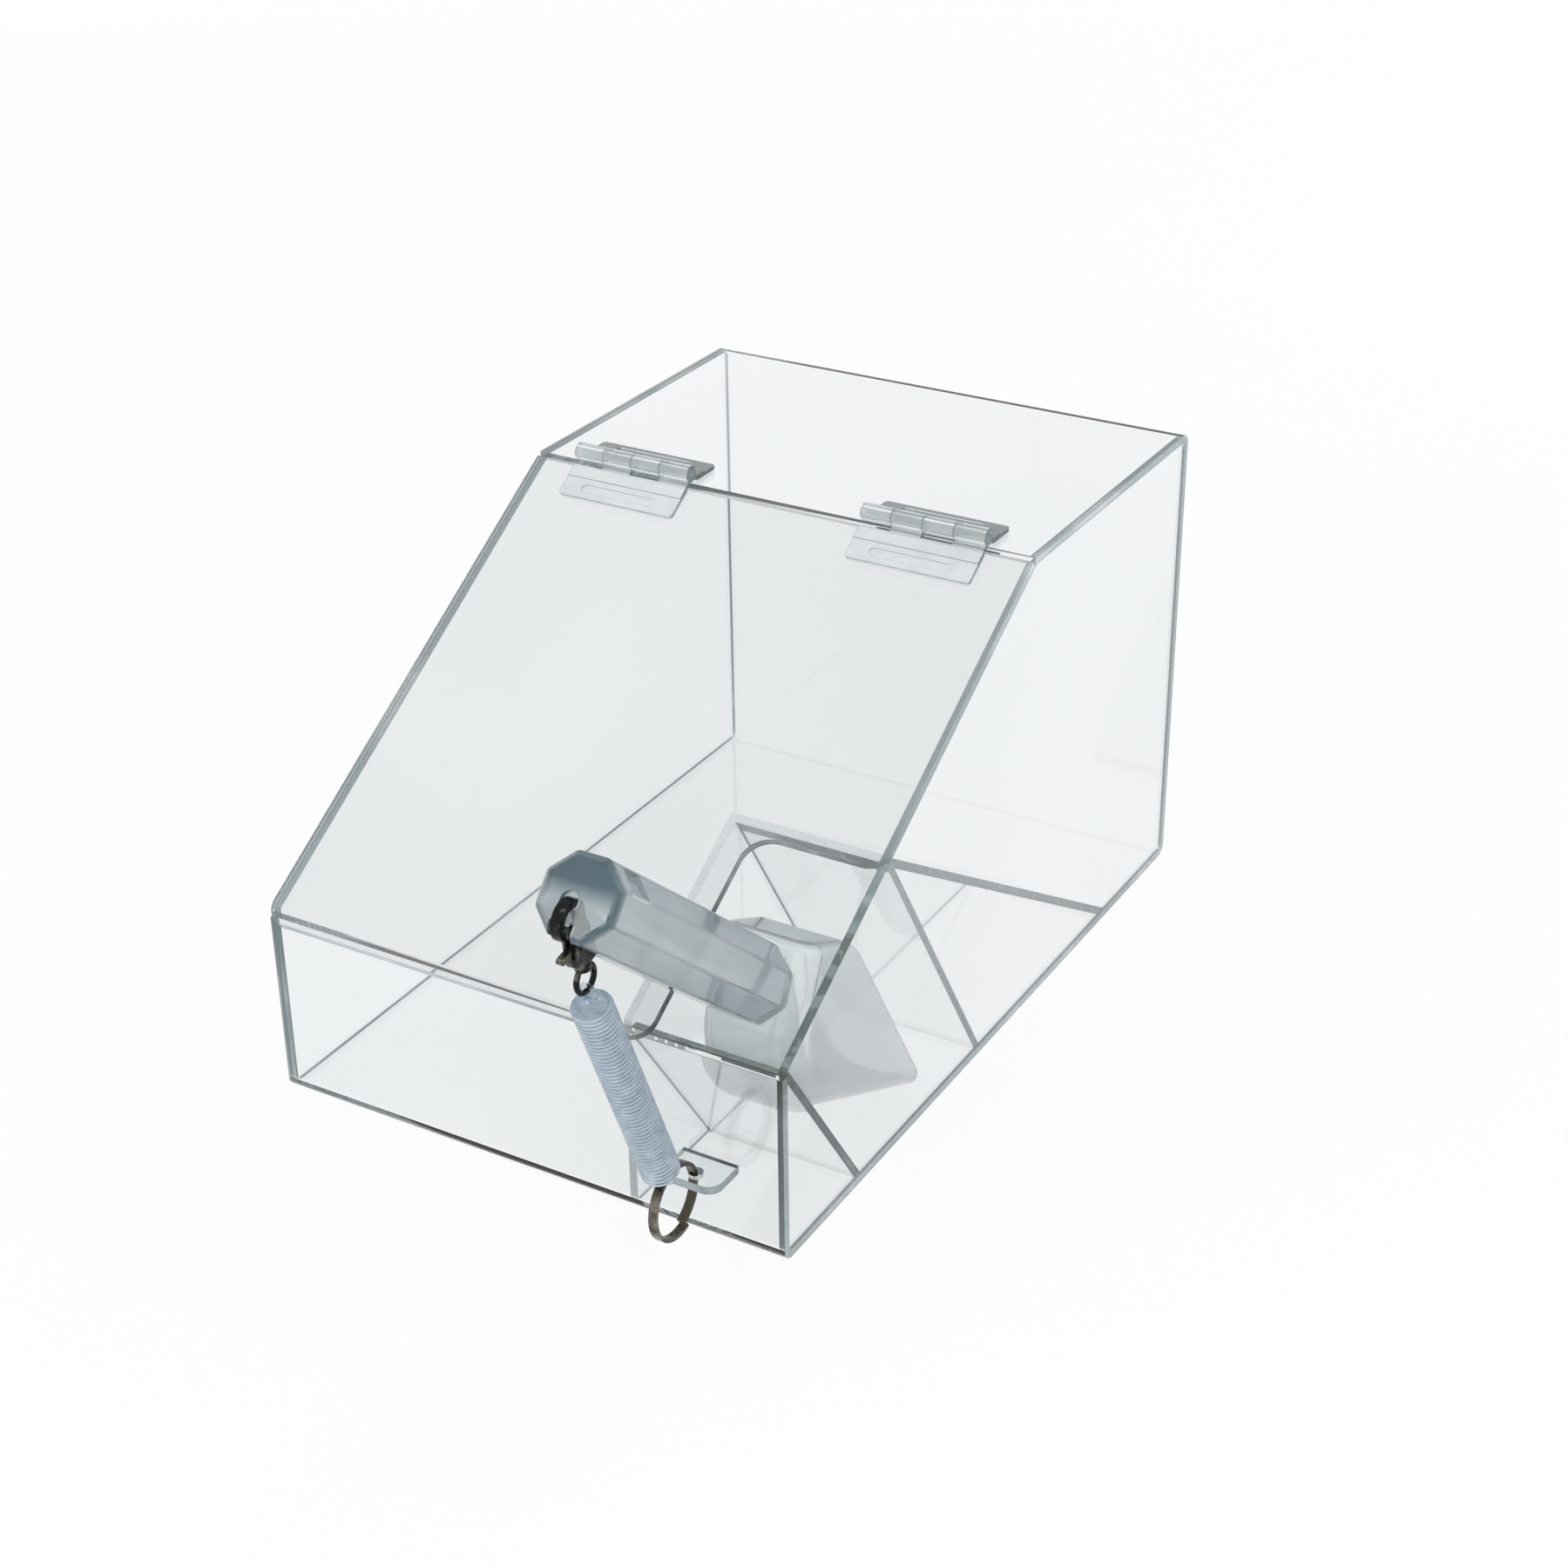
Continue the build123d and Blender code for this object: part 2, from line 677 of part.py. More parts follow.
# --- tether: a loop through the eye, the coil, and a loop through the split ring --
loop_radius = loop_inner + cord_wire / 2
loop_reach = loop_inner + cord_wire
top_loop_centre = eye_centre - eye_radius - (loop_inner - eye_wire / 2 - loop_play)
top_loop_face = Plane(
    origin=clasp_across.offset(top_loop_centre).origin,
    x_dir=(1, 0, 0),
    z_dir=clasp_side.x_dir,
)
save(wire_ring(top_loop_face, loop_radius, cord_wire), "tether_loop_top")
loop_bottom_point = clasp_across.offset(top_loop_centre - loop_reach).origin

# the ring bears on the front side of the tab's hole, drawn that way by the tether
ring_room = tab_hole / 2 - ring_wire / 2 - ring_play
ring_y = front - tab_hole_out - math.sqrt(ring_room**2 - ring_pitch**2) - ring_radius
ring_centre = Vector(tether_x, ring_y, tab_height - ring_drop)
tether_way = (loop_bottom_point - ring_centre).normalized()
ring_start = Plane(
    origin=ring_centre - Vector(ring_pitch * ring_turns / 2, 0, 0),
    x_dir=-tether_way,
    z_dir=(1, 0, 0),
)
ring_path = ring_start.location * Helix(ring_pitch, ring_pitch * ring_turns, ring_radius)
save(coiled(ring_path, ring_wire), "split_ring")

loop_room = loop_inner - ring_wire / 2 - ring_play
hitch = ring_radius + math.sqrt(loop_room**2 - (ring_pitch / 2) ** 2)
bottom_loop_face = Plane(
    origin=ring_centre + tether_way * hitch,
    x_dir=(1, 0, 0),
    z_dir=Vector(1, 0, 0).cross(tether_way),
)
save(wire_ring(bottom_loop_face, loop_radius, cord_wire), "tether_loop_bottom")

coil_start = ring_centre + tether_way * (hitch + loop_reach - coil_sink)
coil_length = (loop_bottom_point - coil_start).length - coil_gap
with BuildPart() as tether_coil:
    with BuildSketch(Plane(origin=coil_start, x_dir=(1, 0, 0), z_dir=tether_way)):
        Circle(coil_diameter / 2)
    extrude(amount=coil_length)
save(tether_coil.part, "tether_coil")
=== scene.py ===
"""Looks for the candy bin with scoop lid: clear acrylic, moulded scoop, tether and clasp."""

import math

import bpy
from mathutils import Matrix, Vector


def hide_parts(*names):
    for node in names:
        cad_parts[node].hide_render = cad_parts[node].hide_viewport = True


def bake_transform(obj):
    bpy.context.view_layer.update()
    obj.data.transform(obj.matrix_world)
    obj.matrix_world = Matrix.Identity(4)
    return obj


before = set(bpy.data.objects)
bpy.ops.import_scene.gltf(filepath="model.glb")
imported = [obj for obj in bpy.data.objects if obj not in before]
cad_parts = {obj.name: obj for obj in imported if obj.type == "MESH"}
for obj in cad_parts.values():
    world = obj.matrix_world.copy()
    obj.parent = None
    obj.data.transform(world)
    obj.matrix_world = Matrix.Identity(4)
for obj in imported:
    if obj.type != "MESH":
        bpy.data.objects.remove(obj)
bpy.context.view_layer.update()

MM = 0.001

# --- camera, at the photograph's angle -----------------------------------------
CAMERA_PLACE = Vector((0.4624, -0.7615, 0.5597))
CAMERA_AZIMUTH = math.radians(30.516)
CAMERA_ELEVATION = math.radians(28.472)
CAMERA_ROLL = math.radians(-0.747)
CAMERA_LENS = 63.39


def add_camera():
    """The camera, looking from an azimuth and elevation with a slight roll."""
    sin_az, cos_az = math.sin(CAMERA_AZIMUTH), math.cos(CAMERA_AZIMUTH)
    sin_el, cos_el = math.sin(CAMERA_ELEVATION), math.cos(CAMERA_ELEVATION)
    backwards = Vector((sin_az * cos_el, -cos_az * cos_el, sin_el))
    level = Vector((cos_az, sin_az, 0))
    upright = backwards.cross(level)
    right = level * math.cos(CAMERA_ROLL) + upright * math.sin(CAMERA_ROLL)
    up = upright * math.cos(CAMERA_ROLL) - level * math.sin(CAMERA_ROLL)
    camera = bpy.data.objects.new("camera", bpy.data.cameras.new("camera"))
    camera.data.lens = CAMERA_LENS
    turn = Matrix((right, up, backwards)).transposed().to_4x4()
    camera.matrix_world = Matrix.Translation(CAMERA_PLACE) @ turn
    bpy.context.collection.objects.link(camera)
    bpy.context.scene.camera = camera


add_camera()

# --- tether: wound cord between its two loops ------------------------------------
COIL_START = Vector((74.5, -181.41, 45.449)) * MM
COIL_END = Vector((74.5, -214.738, 126.891)) * MM
COIL_WIRE = 1.5 * MM
COIL_RADIUS = 5.75 * MM  # to the middle of the wire
COIL_PITCH = 1.16 * COIL_WIRE
LEAD_TURNS = 0.6  # part of a turn in which the wire comes in to the coil's axis
RING_STEPS = 22  # points in a turn
WIRE_SIDES = 8


def route_points(corners):
    """Points along the NURBS route through the corners given."""
    curve = bpy.data.curves.new("tether_route", "CURVE")
    curve.dimensions = "3D"
    spline = curve.splines.new("NURBS")
    spline.points.add(len(corners) - 1)
    for point, corner in zip(spline.points, corners):
        point.co = (*corner, 1)
    spline.order_u = 3
    spline.use_endpoint_u = True
    holder = bpy.data.objects.new("tether_route", curve)
    bpy.context.collection.objects.link(holder)
    bpy.context.view_layer.update()
    mesh = bpy.data.meshes.new_from_object(holder)
    points = [v.co.copy() for v in mesh.vertices]
    bpy.data.objects.remove(holder)
    bpy.data.meshes.remove(mesh)
    return points


def along(points, share):
    """The point at a share of the way along a line of points."""
    place = share * (len(points) - 1)
    first = min(int(place), len(points) - 2)
    return points[first].lerp(points[first + 1], place - first)


def coil_line(route):
    """The wound wire's centreline, brought in at both ends, and its ways outward."""
    way = (route[-1] - route[0]).normalized()
    side = Vector((1, 0, 0))
    front = way.cross(side)
    turns = (route[-1] - route[0]).length / COIL_PITCH
    count = int(turns * RING_STEPS)
    line, outward = [], []
    for step in range(count + 1):
        turn = turns * step / count
        lead = min(turn, turns - turn, LEAD_TURNS) / LEAD_TURNS
        radius = COIL_RADIUS * math.sin(lead * math.pi / 2)
        angle = turn * 2 * math.pi
        out = side * math.cos(angle) + front * math.sin(angle)
        line.append(along(route, step / count) + out * radius)
        outward.append(out)
    return line, outward


def tube(name, line, outward, radius, sides):
    """A closed mesh tube along a line; its crest is 1 where it faces outward and -1 inward."""
    verts, faces, crest = [], [], []
    for k, centre in enumerate(line):
        ahead = (line[min(k + 1, len(line) - 1)] - line[max(k - 1, 0)]).normalized()
        across = (outward[k] - ahead * outward[k].dot(ahead)).normalized()
        other = ahead.cross(across)
        for s in range(sides):
            angle = 2 * math.pi * s / sides
            verts.append(centre + (across * math.cos(angle) + other * math.sin(angle)) * radius)
            crest.append(math.cos(angle))
    for k in range(len(line) - 1):
        for s in range(sides):
            low, high = k * sides, (k + 1) * sides
            faces.append((low + s, low + (s + 1) % sides, high + (s + 1) % sides, high + s))
    faces.append(tuple(reversed(range(sides))))
    faces.append(tuple(range((len(line) - 1) * sides, len(line) * sides)))
    mesh = bpy.data.meshes.new(name)
    mesh.from_pydata(verts, [], faces)
    for polygon in mesh.polygons:
        polygon.use_smooth = len(polygon.vertices) == 4
    mesh.attributes.new("crest", "FLOAT", "POINT").data.foreach_set("value", crest)
    piece = bpy.data.objects.new(name, mesh)
    bpy.context.collection.objects.link(piece)
    return piece


wound, ways_out = coil_line(route_points([COIL_START, COIL_START.lerp(COIL_END, 0.5), COIL_END]))
coil = tube("tether_winding", wound, ways_out, COIL_WIRE / 2, WIRE_SIDES)
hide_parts("tether_coil")
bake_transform(coil)


# --- materials --------------------------------------------------------------------
class Nodes:
    """A material's node tree, with short ways to add and join nodes."""

    def __init__(self, name):
        self.material = bpy.data.materials.new(name)
        self.material.use_nodes = True
        self.tree = self.material.node_tree
        self.tree.nodes.clear()
        self.place = self.add("TexCoord")

    def add(self, kind, inputs=None, **settings):
        node = self.tree.nodes.new("ShaderNode" + kind)
        for key, value in settings.items():
            setattr(node, key, value)
        for key, value in (inputs or {}).items():
            if isinstance(value, bpy.types.NodeSocket):
                self.tree.links.new(value, node.inputs[key])
            else:
                node.inputs[key].default_value = value
        return node

    def math(self, operation, first, second=0.0, clamp=False):
        node = self.add("Math", {0: first, 1: second}, operation=operation, use_clamp=clamp)
        return node.outputs[0]

    def along(self, place, way):
        """How far the object's place, or its normal, reaches along a way."""
        inputs = {0: self.place.outputs[place], 1: way}
        return self.add("VectorMath", inputs, operation="DOT_PRODUCT").outputs["Value"]

    def distance(self, point):
        """How far the object's place lies from a point."""
        inputs = {0: self.place.outputs["Object"], 1: point}
        return self.add("VectorMath", inputs, operation="DISTANCE").outputs["Value"]

    def noise(self, scale, detail=2.0, roughness=0.5, vector=None):
        inputs = {
            "Vector": vector or self.place.outputs["Object"],
            "Scale": scale,
            "Detail": detail,
            "Roughness": roughness,
        }
        return self.add("TexNoise", inputs).outputs[0]

    def ramp(self, value, low, high, to_low=0.0, to_high=1.0):
        inputs = {0: value, 1: low, 2: high, 3: to_low, 4: to_high}
        return self.add("MapRange", inputs).outputs[0]

    def blend(self, share, first, second):
        node = self.add("Mix", {0: share, 6: first, 7: second}, data_type="RGBA")
        return node.outputs[2]

    def finish(self, shader):
        self.add("OutputMaterial", {0: shader})
        return self.material


def rgb(red, green, blue):
    return (red, green, blue, 1.0)


def clear(nodes, principled, lamps_through):
    """Let lamps shine through a clear shader, so that it throws a pale shadow."""
    path = nodes.add("LightPath")
    shade = nodes.math("MULTIPLY", path.outputs["Is Shadow Ray"], lamps_through)
    see_through = nodes.add("BsdfTransparent", {0: rgb(0.97, 0.98, 0.98)})
    return nodes.add("MixShader", {0: shade, 1: principled, 2: see_through.outputs[0]}).outputs[0]


ON_SHEET = 4 * MM  # a broad face lies nearer than this to the middle of its sheet
OFF_SHEET = 4.5 * MM


def off_middle(nodes, normal, middle):
    """How far a point lies from the middle of a sheet's thickness."""
    level = nodes.along("Object", normal)
    return nodes.math("ABSOLUTE", nodes.math("SUBTRACT", level, middle * MM))


def edge_share(nodes, sheets, bends):
    """1 on a panel's cut edges and 0 on the broad faces of its flat sheets and its bends."""
    broad = 0.0
    for normal, middle in sheets + [(normal, None) for normal in bends]:
        facing = nodes.math("ABSOLUTE", nodes.along("Normal", normal))
        if middle is not None:
            on_sheet = nodes.ramp(off_middle(nodes, normal, middle), OFF_SHEET, ON_SHEET)
            facing = nodes.math("MULTIPLY", facing, on_sheet)
        broad = nodes.math("MAXIMUM", facing, broad)
    return nodes.ramp(broad, 0.75, 0.5)


def edge_core(nodes, sheets):
    """1 along the middle of a sheet's thickness and 0 at its two arrises, on the cut edges."""
    nearest = 1.0
    for normal, middle in sheets:
        nearest = nodes.math("MINIMUM", off_middle(nodes, normal, middle), nearest)
    return nodes.ramp(nearest, 1.3 * MM, 0.5 * MM)


# edge colours: the grey-green tint is the sheet's own; the light cores, white stripes and dark
# arris lines are painted highlights and painted shade for the reflections in polished edges, made
# lighter because the lamps are hidden from glossy rays
EDGE_PAINTED_HIGHLIGHT = rgb(0.9, 0.93, 0.94)
EDGE_GREY = rgb(0.66, 0.73, 0.76)
EDGE_SOLID = rgb(0.5, 0.58, 0.62)
EDGE_PAINTED_DARK_LINE = rgb(0.46, 0.53, 0.55)
# the colour of the painted dark green shade on the edges near one corner
EDGE_PAINTED_SHADE = rgb(0.1, 0.13, 0.11)
MATT_EDGE = rgb(0.94, 0.955, 0.965)
PAINTED_SHADE_CORNER = Vector((98.0, -150.0, 72.0)) * MM  # painted dark green shade lies on the edges near it, standing in for a dark reflection
SHEET_IOR = 1.49
MOULDED_IOR = 1.55


def acrylic(name, sheets, clarity, matt=0.0, see_into=0.35, bends=()):
    """Clear cast sheet: faint smears on its faces, and polished or matt saw-cut edges. On the
    polished edges the light cores, white stripes and dark lines at the arrises are painted
    highlights and painted shade, and a patch of painted dark green shade lies near one corner.

    Its sheets are the normal and the middle, in millimetres, of each flat run of the sheet.
    """
    nodes = Nodes(name)
    edge = edge_share(nodes, sheets, bends)
    depth = nodes.ramp(nodes.noise(5.0, 1.0), 0.3, 0.7)
    face_tint = rgb(clarity, clarity + 0.012, clarity + 0.015)
    face_deep = rgb(clarity - 0.035, clarity - 0.02, clarity - 0.015)
    face_colour = nodes.blend(depth, face_tint, face_deep)
    # painted highlight stripes along the edges
    painted_streaks = nodes.ramp(nodes.noise(45.0, 3.0, 0.6), 0.42, 0.6)
    solid = nodes.ramp(nodes.noise(8.0, 1.0), 0.47, 0.53)
    core = nodes.blend(solid, nodes.blend(painted_streaks, EDGE_GREY, EDGE_PAINTED_HIGHLIGHT), EDGE_SOLID)
    # painted dark lines at the arrises, round a painted light core
    polished = nodes.blend(edge_core(nodes, sheets), EDGE_PAINTED_DARK_LINE, core)
    # painted shade near one corner, broken up by noise and kept to the upper edges
    shade_flecks = nodes.ramp(nodes.noise(130.0, 3.0, 0.6), 0.5, 0.6, 1.0, 0.55)
    upright_edges = nodes.ramp(nodes.along("Object", (0, 0, 1)), 55 * MM, 68 * MM, 0.3, 1.0)
    shade_flecks = nodes.math("MULTIPLY", shade_flecks, upright_edges)
    away = nodes.distance(PAINTED_SHADE_CORNER)
    painted_shade = nodes.math("MULTIPLY", nodes.ramp(away, 50 * MM, 110 * MM, 0.85, 0.0), shade_flecks)
    edge_colour = nodes.blend(matt, nodes.blend(painted_shade, polished, EDGE_PAINTED_SHADE), MATT_EDGE)
    colour = nodes.blend(edge, face_colour, edge_colour)
    smears = nodes.ramp(nodes.noise(18.0, 4.0, 0.6), 0.45, 0.75, 0.0, 0.04)
    edge_rough = nodes.ramp(nodes.noise(260.0, 2.0), 0.3, 0.7, 0.06, 0.2 + 0.3 * matt)
    roughness = nodes.math("ADD", smears, nodes.math("MULTIPLY", edge, edge_rough))
    waves = nodes.add(
        "Bump",
        {"Strength": 0.02, "Distance": 0.0005, "Height": nodes.noise(9.0, 1.0)},
    )
    inputs = {
        "Base Color": colour,
        "Roughness": roughness,
        "IOR": SHEET_IOR,
        "Transmission Weight": nodes.ramp(edge, 0.0, 1.0, 1.0, see_into * (1 - matt)),
        "Normal": waves.outputs[0],
    }
    shader = nodes.add("BsdfPrincipled", inputs).outputs[0]
    return nodes.finish(clear(nodes, shader, 0.85))


HANDLE_WAY = (0, -0.760406, 0.649448)
HANDLE_UP = (0, 0.649448, 0.760406)
CAP_MIDDLE = -17.2 * MM  # measured along the handle's way up
HANDLE_END = 276.17 * MM  # its cap, measured along that way
BOWL_END = 165.0 * MM
STREAKS_ACROSS = 170.0  # painted reflection stripes to a metre
STREAKS_ALONG = 16.0


def handle_painted_shade(nodes):
    """Painted shade round the handle's cap and on the cap's upper half, and painted reflection
    stripes on the rest of it.
    """
    facing = nodes.along("Normal", HANDLE_WAY)
    level = nodes.along("Object", HANDLE_WAY)
    height = nodes.along("Object", HANDLE_UP)
    drawn_out = {
        0: nodes.math("MULTIPLY", nodes.along("Object", (1, 0, 0)), STREAKS_ACROSS),
        1: nodes.math("MULTIPLY", height, STREAKS_ACROSS),
        2: nodes.math("MULTIPLY", level, STREAKS_ALONG),
    }
    drawn_out = nodes.add("CombineXYZ", drawn_out).outputs[0]
    # painted reflection stripes, drawn out along the handle
    painted_streaks = nodes.ramp(nodes.noise(1.0, vector=drawn_out), 0.42, 0.58, 0.0, 0.26)
    on_handle = nodes.ramp(level, BOWL_END, BOWL_END + 10 * MM)
    on_handle = nodes.math("MULTIPLY", on_handle, painted_streaks)
    # painted shade on the band round the cap and on the cap's upper half, standing in for dark
    # reflections in the hollow handle
    near_end = nodes.ramp(level, HANDLE_END - 4.5 * MM, HANDLE_END - 3 * MM)
    cap = nodes.ramp(height, CAP_MIDDLE - 4 * MM, CAP_MIDDLE + 5 * MM, 0.0, 1.0)
    band = nodes.math("MULTIPLY", near_end, nodes.ramp(facing, 0.97, 0.85, cap, 1.0))
    return nodes.math("MAXIMUM", band, on_handle)


def leaf_ends(nodes):
    """Deep on the ends of a hinge's leaves and knuckles, which are seen along their length."""
    return nodes.ramp(nodes.math("ABSOLUTE", nodes.along("Normal", (1, 0, 0))), 0.6, 0.9)


def wire_groove_shade(nodes):
    """Painted shade between the turns of the wound wire: most in the grooves and none on their
    crests.
    """
    crest = nodes.add("Attribute", attribute_name="crest").outputs["Fac"]
    return nodes.ramp(crest, 0.92, 0.5, 0.0, 0.6)


def moulded(
    name, light, dark, roughness, texture_scale, see_into=1.0, flow_depth=0.3, depth_and_shade=None
):
    """Moulded clear plastic, darker in colour where it turns away, partly for the longer path
    through it and partly as painted shade along its outline, and darker again where the given
    depth and painted shade mask says.
    """
    nodes = Nodes(name)
    # painted shade towards the outline, partly the plastic's longer path at grazing angles
    turning = nodes.add("LayerWeight", {"Blend": 0.35}).outputs["Facing"]
    depth = nodes.ramp(turning, 0.2, 0.9)
    if depth_and_shade:
        depth = nodes.math("MAXIMUM", depth, depth_and_shade(nodes))
    flow = nodes.ramp(nodes.noise(texture_scale, 2.0), 0.35, 0.65, 0.0, flow_depth)
    colour = nodes.blend(nodes.math("ADD", depth, flow, clamp=True), light, dark)
    rough = nodes.ramp(nodes.noise(60.0, 3.0), 0.3, 0.7, roughness, roughness + 0.05)
    bump = nodes.add(
        "Bump",
        {"Strength": 0.12, "Distance": 0.0006, "Height": nodes.noise(texture_scale, 1.0)},
    )
    inputs = {
        "Base Color": colour,
        "Roughness": rough,
        "IOR": MOULDED_IOR,
        "Transmission Weight": see_into,
        "Normal": bump.outputs[0],
    }
    shader = nodes.add("BsdfPrincipled", inputs).outputs[0]
    return nodes.finish(clear(nodes, shader, 0.8))


def metal(name, colour, worn, roughness, wear_scale=250.0):
    """Plated metal with small worn and dulled places."""
    nodes = Nodes(name)
    wear = nodes.ramp(nodes.noise(wear_scale, 4.0, 0.6), 0.52, 0.72)
    rough = nodes.ramp(nodes.noise(400.0, 2.0), 0.3, 0.7, roughness, roughness + 0.15)
    bump = nodes.add(
        "Bump",
        {"Strength": 0.15, "Distance": 0.0001, "Height": nodes.noise(700.0, 2.0)},
    )
    inputs = {
        "Base Color": nodes.blend(wear, colour, worn),
        "Metallic": 1.0,
        "Roughness": rough,
        "Normal": bump.outputs[0],
    }
    return nodes.finish(nodes.add("BsdfPrincipled", inputs).outputs[0])


# each panel's flat runs: the way across the sheet, and how far along it its middle lies
WRAP_SHEETS = [((0, 1, 0), -151), ((0, 1, 0), 151), ((0, 0, 1), 1.5), ((0, 0, 1), 179.5)]
WRAP_BENDS = [(0, 0.707, 0.707), (0, 0.707, -0.707)]
SIDE_SHEETS = [((1, 0, 0), -100), ((1, 0, 0), 100)]
LID_SHEETS = [((0, -0.524466, 0.851431), 141.96)]
RAMP_SHEETS = [((0, 0.82806, 0.560639), -83.4)]
BACK_SHEETS = [((0, 0.851431, 0.524466), -10.5)]
ROOF_SHEETS = [((0, 0.534281, 0.845307), 52.06)]

side = acrylic("acrylic_side", SIDE_SHEETS, 0.96)
looks = {
    "body_wrap": acrylic("acrylic_wrap", WRAP_SHEETS, 0.945, bends=WRAP_BENDS),
    "side_panel_left": side,
    "side_panel_right": side,
    "divider": acrylic("acrylic_divider", [((1, 0, 0), 43)], 0.93, matt=0.8),
    "tether_tab": acrylic("acrylic_tab", [((0, 0, 1), 31.4)], 0.94),
    "lid": acrylic("acrylic_lid", LID_SHEETS, 0.875),
    "pocket_front": acrylic("acrylic_ramp", RAMP_SHEETS, 0.93),
    "pocket_back": acrylic("acrylic_pocket_back", BACK_SHEETS, 0.93, matt=0.8),
    "pocket_roof": acrylic("acrylic_roof", ROOF_SHEETS, 0.93, matt=0.8),
}
hinge = moulded(
    "hinge_plastic",
    rgb(0.93, 0.95, 0.95),
    rgb(0.3, 0.4, 0.42),
    roughness=0.08,
    texture_scale=90.0,
    see_into=0.85,
    flow_depth=0.12,
    depth_and_shade=leaf_ends,
)
pin = moulded("pin_plastic", rgb(0.9, 0.925, 0.925), rgb(0.3, 0.4, 0.42), 0.05, 200.0)
clear_scoop = moulded(
    "scoop_plastic",
    rgb(0.87, 0.9, 0.91),
    rgb(0.13, 0.21, 0.255),
    roughness=0.05,
    texture_scale=22.0,
    see_into=0.8,
    flow_depth=0.1,
    depth_and_shade=handle_painted_shade,
)
cord_look = moulded(
    "cord_plastic",
    rgb(0.95, 0.97, 0.985),
    rgb(0.36, 0.48, 0.58),
    roughness=0.08,
    texture_scale=300.0,
    see_into=0.75,
    depth_and_shade=wire_groove_shade,
)
loop_look = moulded("loop_plastic", rgb(0.84, 0.9, 0.95), rgb(0.25, 0.38, 0.52), 0.08, 300.0)
gunmetal = metal("gunmetal", rgb(0.02, 0.02, 0.02), rgb(0.22, 0.21, 0.18), 0.2)
worn_gunmetal = metal("worn_gunmetal", rgb(0.09, 0.085, 0.065), rgb(0.34, 0.32, 0.26), 0.25)
steel = metal(
    "ring_steel",
    rgb(0.075, 0.066, 0.048),
    rgb(0.26, 0.245, 0.21),
    roughness=0.16,
    wear_scale=120.0,
)
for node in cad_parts:
    if node.startswith("hinge_pin"):
        looks[node] = pin
    elif node.startswith("hinge"):
        looks[node] = hinge
    elif node.startswith("tether_loop"):
        looks[node] = loop_look
looks["scoop"] = clear_scoop
looks["clasp_body"] = gunmetal
looks["clasp_swivel"] = gunmetal
looks["clasp_lever"] = worn_gunmetal
looks["clasp_rivet"] = worn_gunmetal
looks["clasp_spring"] = steel
looks["split_ring"] = steel


def wear(piece, material):
    """Give a piece one material in all its slots."""
    if not piece.material_slots:
        piece.data.materials.append(material)
    for slot in piece.material_slots:
        slot.material = material


for node, material in looks.items():
    wear(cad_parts[node], material)
wear(coil, cord_look)

# --- studio: pale floor, soft lamps, white surroundings ---------------------------
FLOOR_SIZE = 6.0
FLOOR_DROP = 0.2 * MM
FLOOR_WHITE = 0.9  # share of plain white in the floor round the object; the rest shows shadow
SHADOW_REACH = 0.5
FLOOR_FADE = 1.8  # from here on the floor is all white, so that it ends without a line


def white_to_camera(nodes, share):
    """A share that counts only where the surroundings are seen, straight or in glass or metal."""
    path = nodes.add("LightPath")
    seen = nodes.math("MAXIMUM", path.outputs["Is Camera Ray"], path.outputs["Is Glossy Ray"])
    seen = nodes.math("MAXIMUM", seen, path.outputs["Is Transmission Ray"])
    return nodes.math("MULTIPLY", seen, share)


def add_floor():
    """A pale floor that keeps the object's shadow."""
    nodes = Nodes("studio_floor")
    grain = nodes.ramp(nodes.noise(3.0), 0.3, 0.7)
    paint = nodes.blend(grain, rgb(0.86, 0.86, 0.86), rgb(0.88, 0.88, 0.88))
    matt = nodes.add("BsdfDiffuse", {0: paint}).outputs[0]
    glow = nodes.add("Emission", {0: rgb(1, 1, 1), 1: 1.0}).outputs[0]
    white_share = nodes.ramp(nodes.distance((0, 0, 0)), SHADOW_REACH, FLOOR_FADE, FLOOR_WHITE, 1.0)
    share = white_to_camera(nodes, white_share)
    shader = nodes.add("MixShader", {0: share, 1: matt, 2: glow}).outputs[0]
    half = FLOOR_SIZE / 2
    mesh = bpy.data.meshes.new("studio_floor")
    corners = [(-half, -half), (half, -half), (half, half), (-half, half)]
    mesh.from_pydata([(x, y, -FLOOR_DROP) for x, y in corners], [], [(0, 1, 2, 3)])
    mesh.materials.append(nodes.finish(shader))
    floor = bpy.data.objects.new("studio_floor", mesh)
    bpy.context.collection.objects.link(floor)


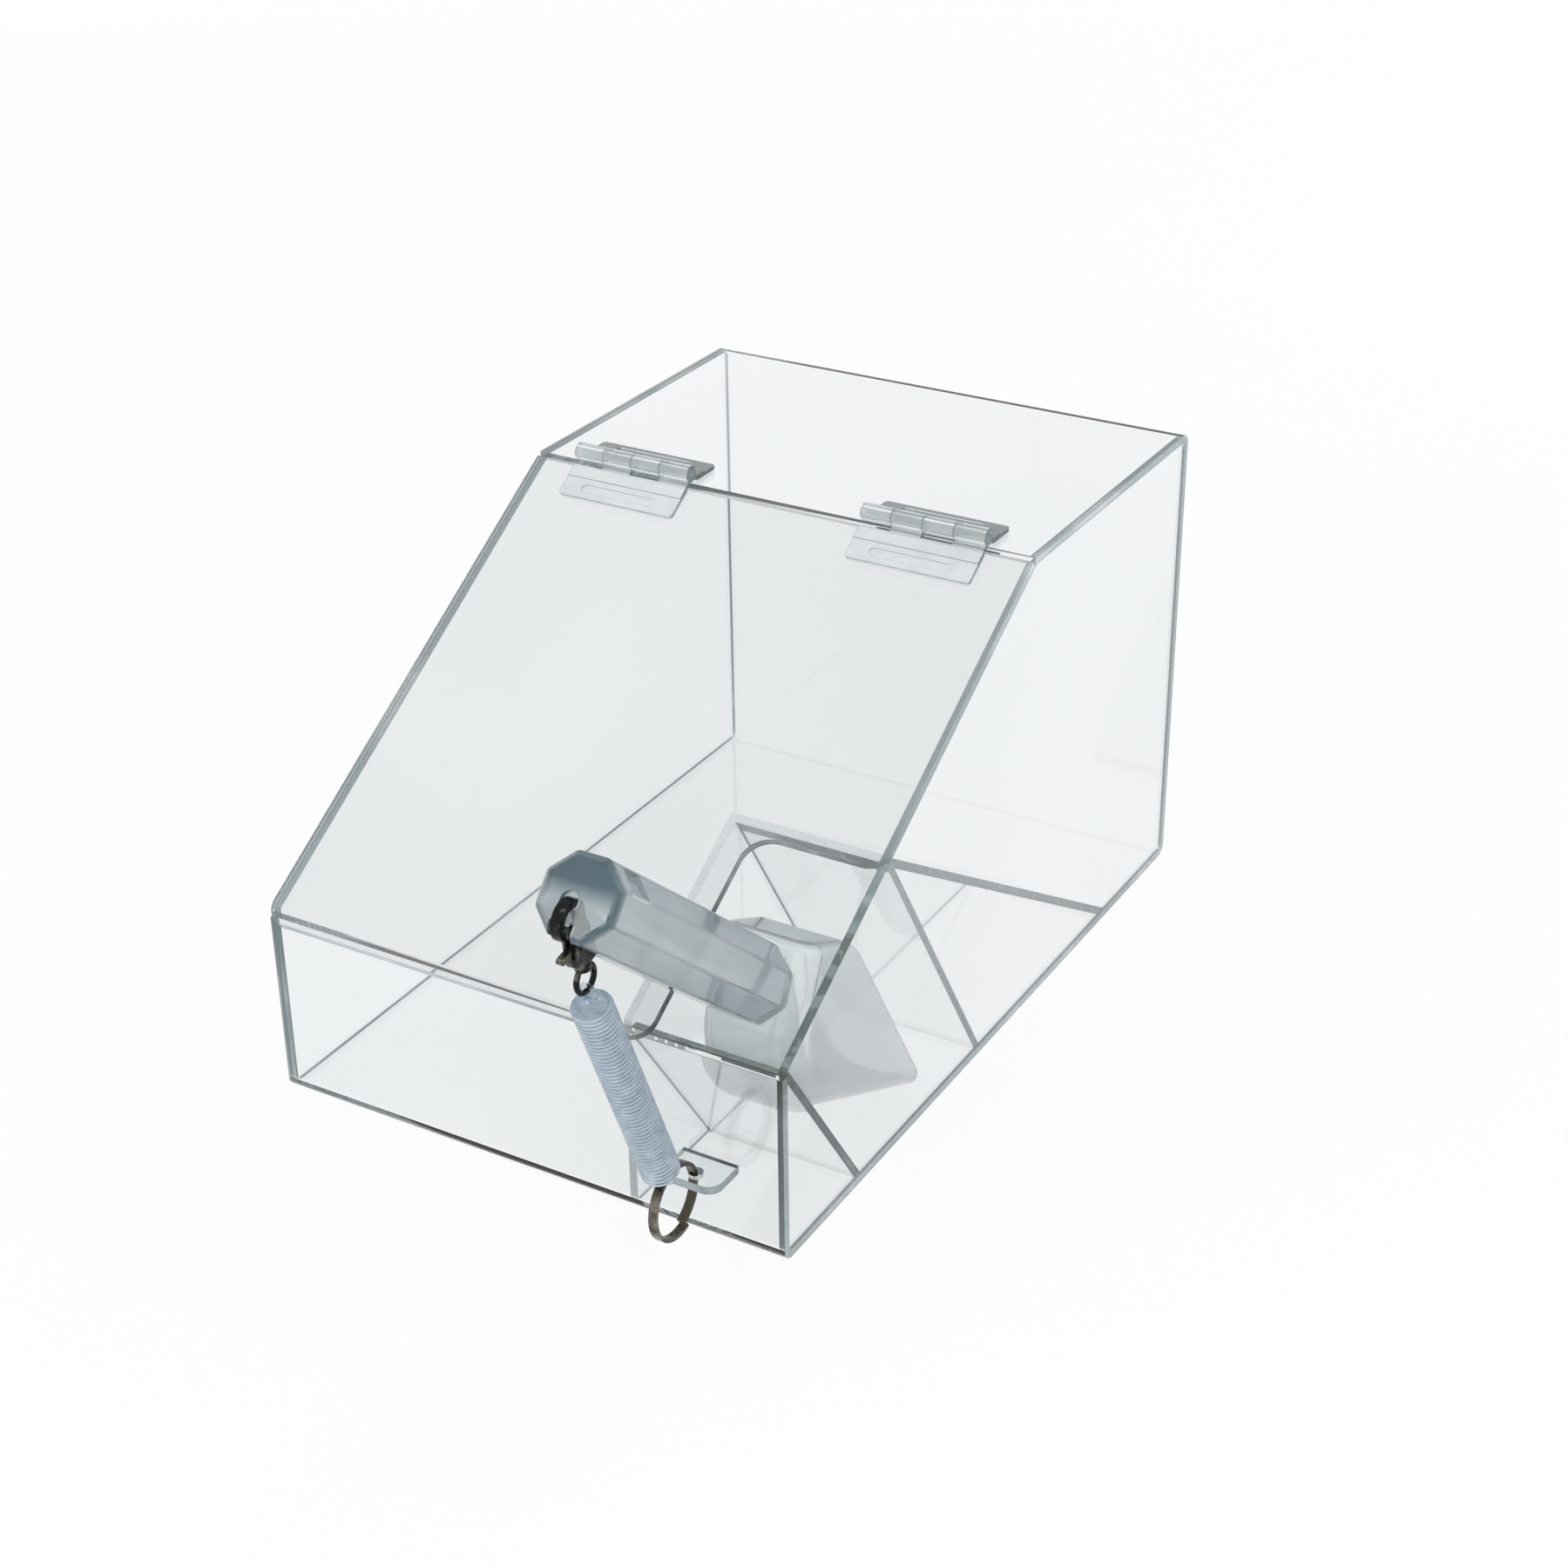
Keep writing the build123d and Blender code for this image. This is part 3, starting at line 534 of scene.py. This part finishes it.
def add_lamp(name, place, target, size, power):
    """A square soft lamp facing a point, whose own image isn't seen in the clear sheets."""
    lamp = bpy.data.lights.new(name, "AREA")
    lamp.shape = "SQUARE"
    lamp.size = size
    lamp.energy = power
    holder = bpy.data.objects.new(name, lamp)
    holder.location = place
    holder.visible_transmission = False
    holder.visible_glossy = False
    holder.rotation_euler = (Vector(target) - Vector(place)).to_track_quat("-Z", "Y").to_euler()
    bpy.context.collection.objects.link(holder)


def add_world():
    """White surroundings where they are seen, and a plain soft light elsewhere."""
    world = bpy.data.worlds.new("studio")
    bpy.context.scene.world = world
    world.use_nodes = True
    tree = world.node_tree
    tree.nodes.clear()
    path = tree.nodes.new("ShaderNodeLightPath")
    most = tree.nodes.new("ShaderNodeMath")
    most.operation = "MAXIMUM"
    tree.links.new(path.outputs["Is Camera Ray"], most.inputs[0])
    tree.links.new(path.outputs["Is Transmission Ray"], most.inputs[1])
    seen = tree.nodes.new("ShaderNodeMath")
    seen.operation = "MAXIMUM"
    tree.links.new(most.outputs[0], seen.inputs[0])
    tree.links.new(path.outputs["Is Glossy Ray"], seen.inputs[1])
    soft = tree.nodes.new("ShaderNodeBackground")
    soft.inputs[0].default_value = rgb(0.9, 0.93, 0.96)
    soft.inputs[1].default_value = 0.55
    white = tree.nodes.new("ShaderNodeBackground")
    white.inputs[0].default_value = rgb(1, 1, 1)
    both = tree.nodes.new("ShaderNodeMixShader")
    tree.links.new(seen.outputs[0], both.inputs[0])
    tree.links.new(soft.outputs[0], both.inputs[1])
    tree.links.new(white.outputs[0], both.inputs[2])
    out = tree.nodes.new("ShaderNodeOutputWorld")
    tree.links.new(both.outputs[0], out.inputs[0])


add_floor()
add_lamp("key", (-0.68, -1.83, 1.07), (0, 0, 0.08), 0.9, 24)
add_lamp("fill", (1.3, -0.6, 1.0), (0, 0, 0.08), 0.8, 9)
add_lamp("back", (0.2, 1.4, 1.3), (0, 0, 0.1), 1.0, 12)
add_world()
bpy.context.scene.view_settings.view_transform = "Standard"
bpy.context.scene.cycles.max_bounces = 32
bpy.context.scene.cycles.transmission_bounces = 32
bpy.context.scene.cycles.glossy_bounces = 16
